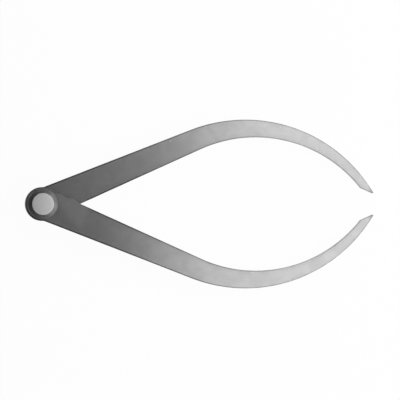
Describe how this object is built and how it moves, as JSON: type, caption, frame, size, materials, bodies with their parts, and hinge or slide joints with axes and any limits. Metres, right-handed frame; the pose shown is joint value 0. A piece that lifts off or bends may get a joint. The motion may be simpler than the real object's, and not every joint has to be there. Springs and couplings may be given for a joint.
{
  "type": "outside caliper",
  "caption": "Outside caliper with bowed flat steel legs and bevelled gauging points, lapped at a riveted firm joint with bevelled washers.",
  "frame": {"origin": "centre of the back rivet head's flat face, on the axis about which the legs swing", "axes": "+Z along the rivet, from the back face to the front face; +X from the rivet to the gauging points, halfway between the legs; the front leg is on the -Y side"},
  "size_m": [0.1578, 0.076, 0.0105],
  "materials": {
    "ground_steel": "ground along the leg, satin, with darker broken edges",
    "rivet_steel": "ground flat, bright satin",
    "blued_steel": "turned, dark oxide",
    "fibre": "vulcanised fibre, dull"
  },
  "bodies": {
    "back_leg_and_rivet": {"back_leg": "ground_steel", "pivot_rivet": "rivet_steel", "front_washer": "blued_steel", "back_washer": "blued_steel", "friction_washer": "fibre"},
    "front_leg": {"front_leg": "ground_steel"}
  },
  "joints": [
    {"name": "pivot", "type": "hinge", "parent": "back_leg_and_rivet", "child": "front_leg", "pos_m": [0, 0, 0], "axis": [0, 0, -1], "range_deg": [-3.6, 300]}
  ]
}
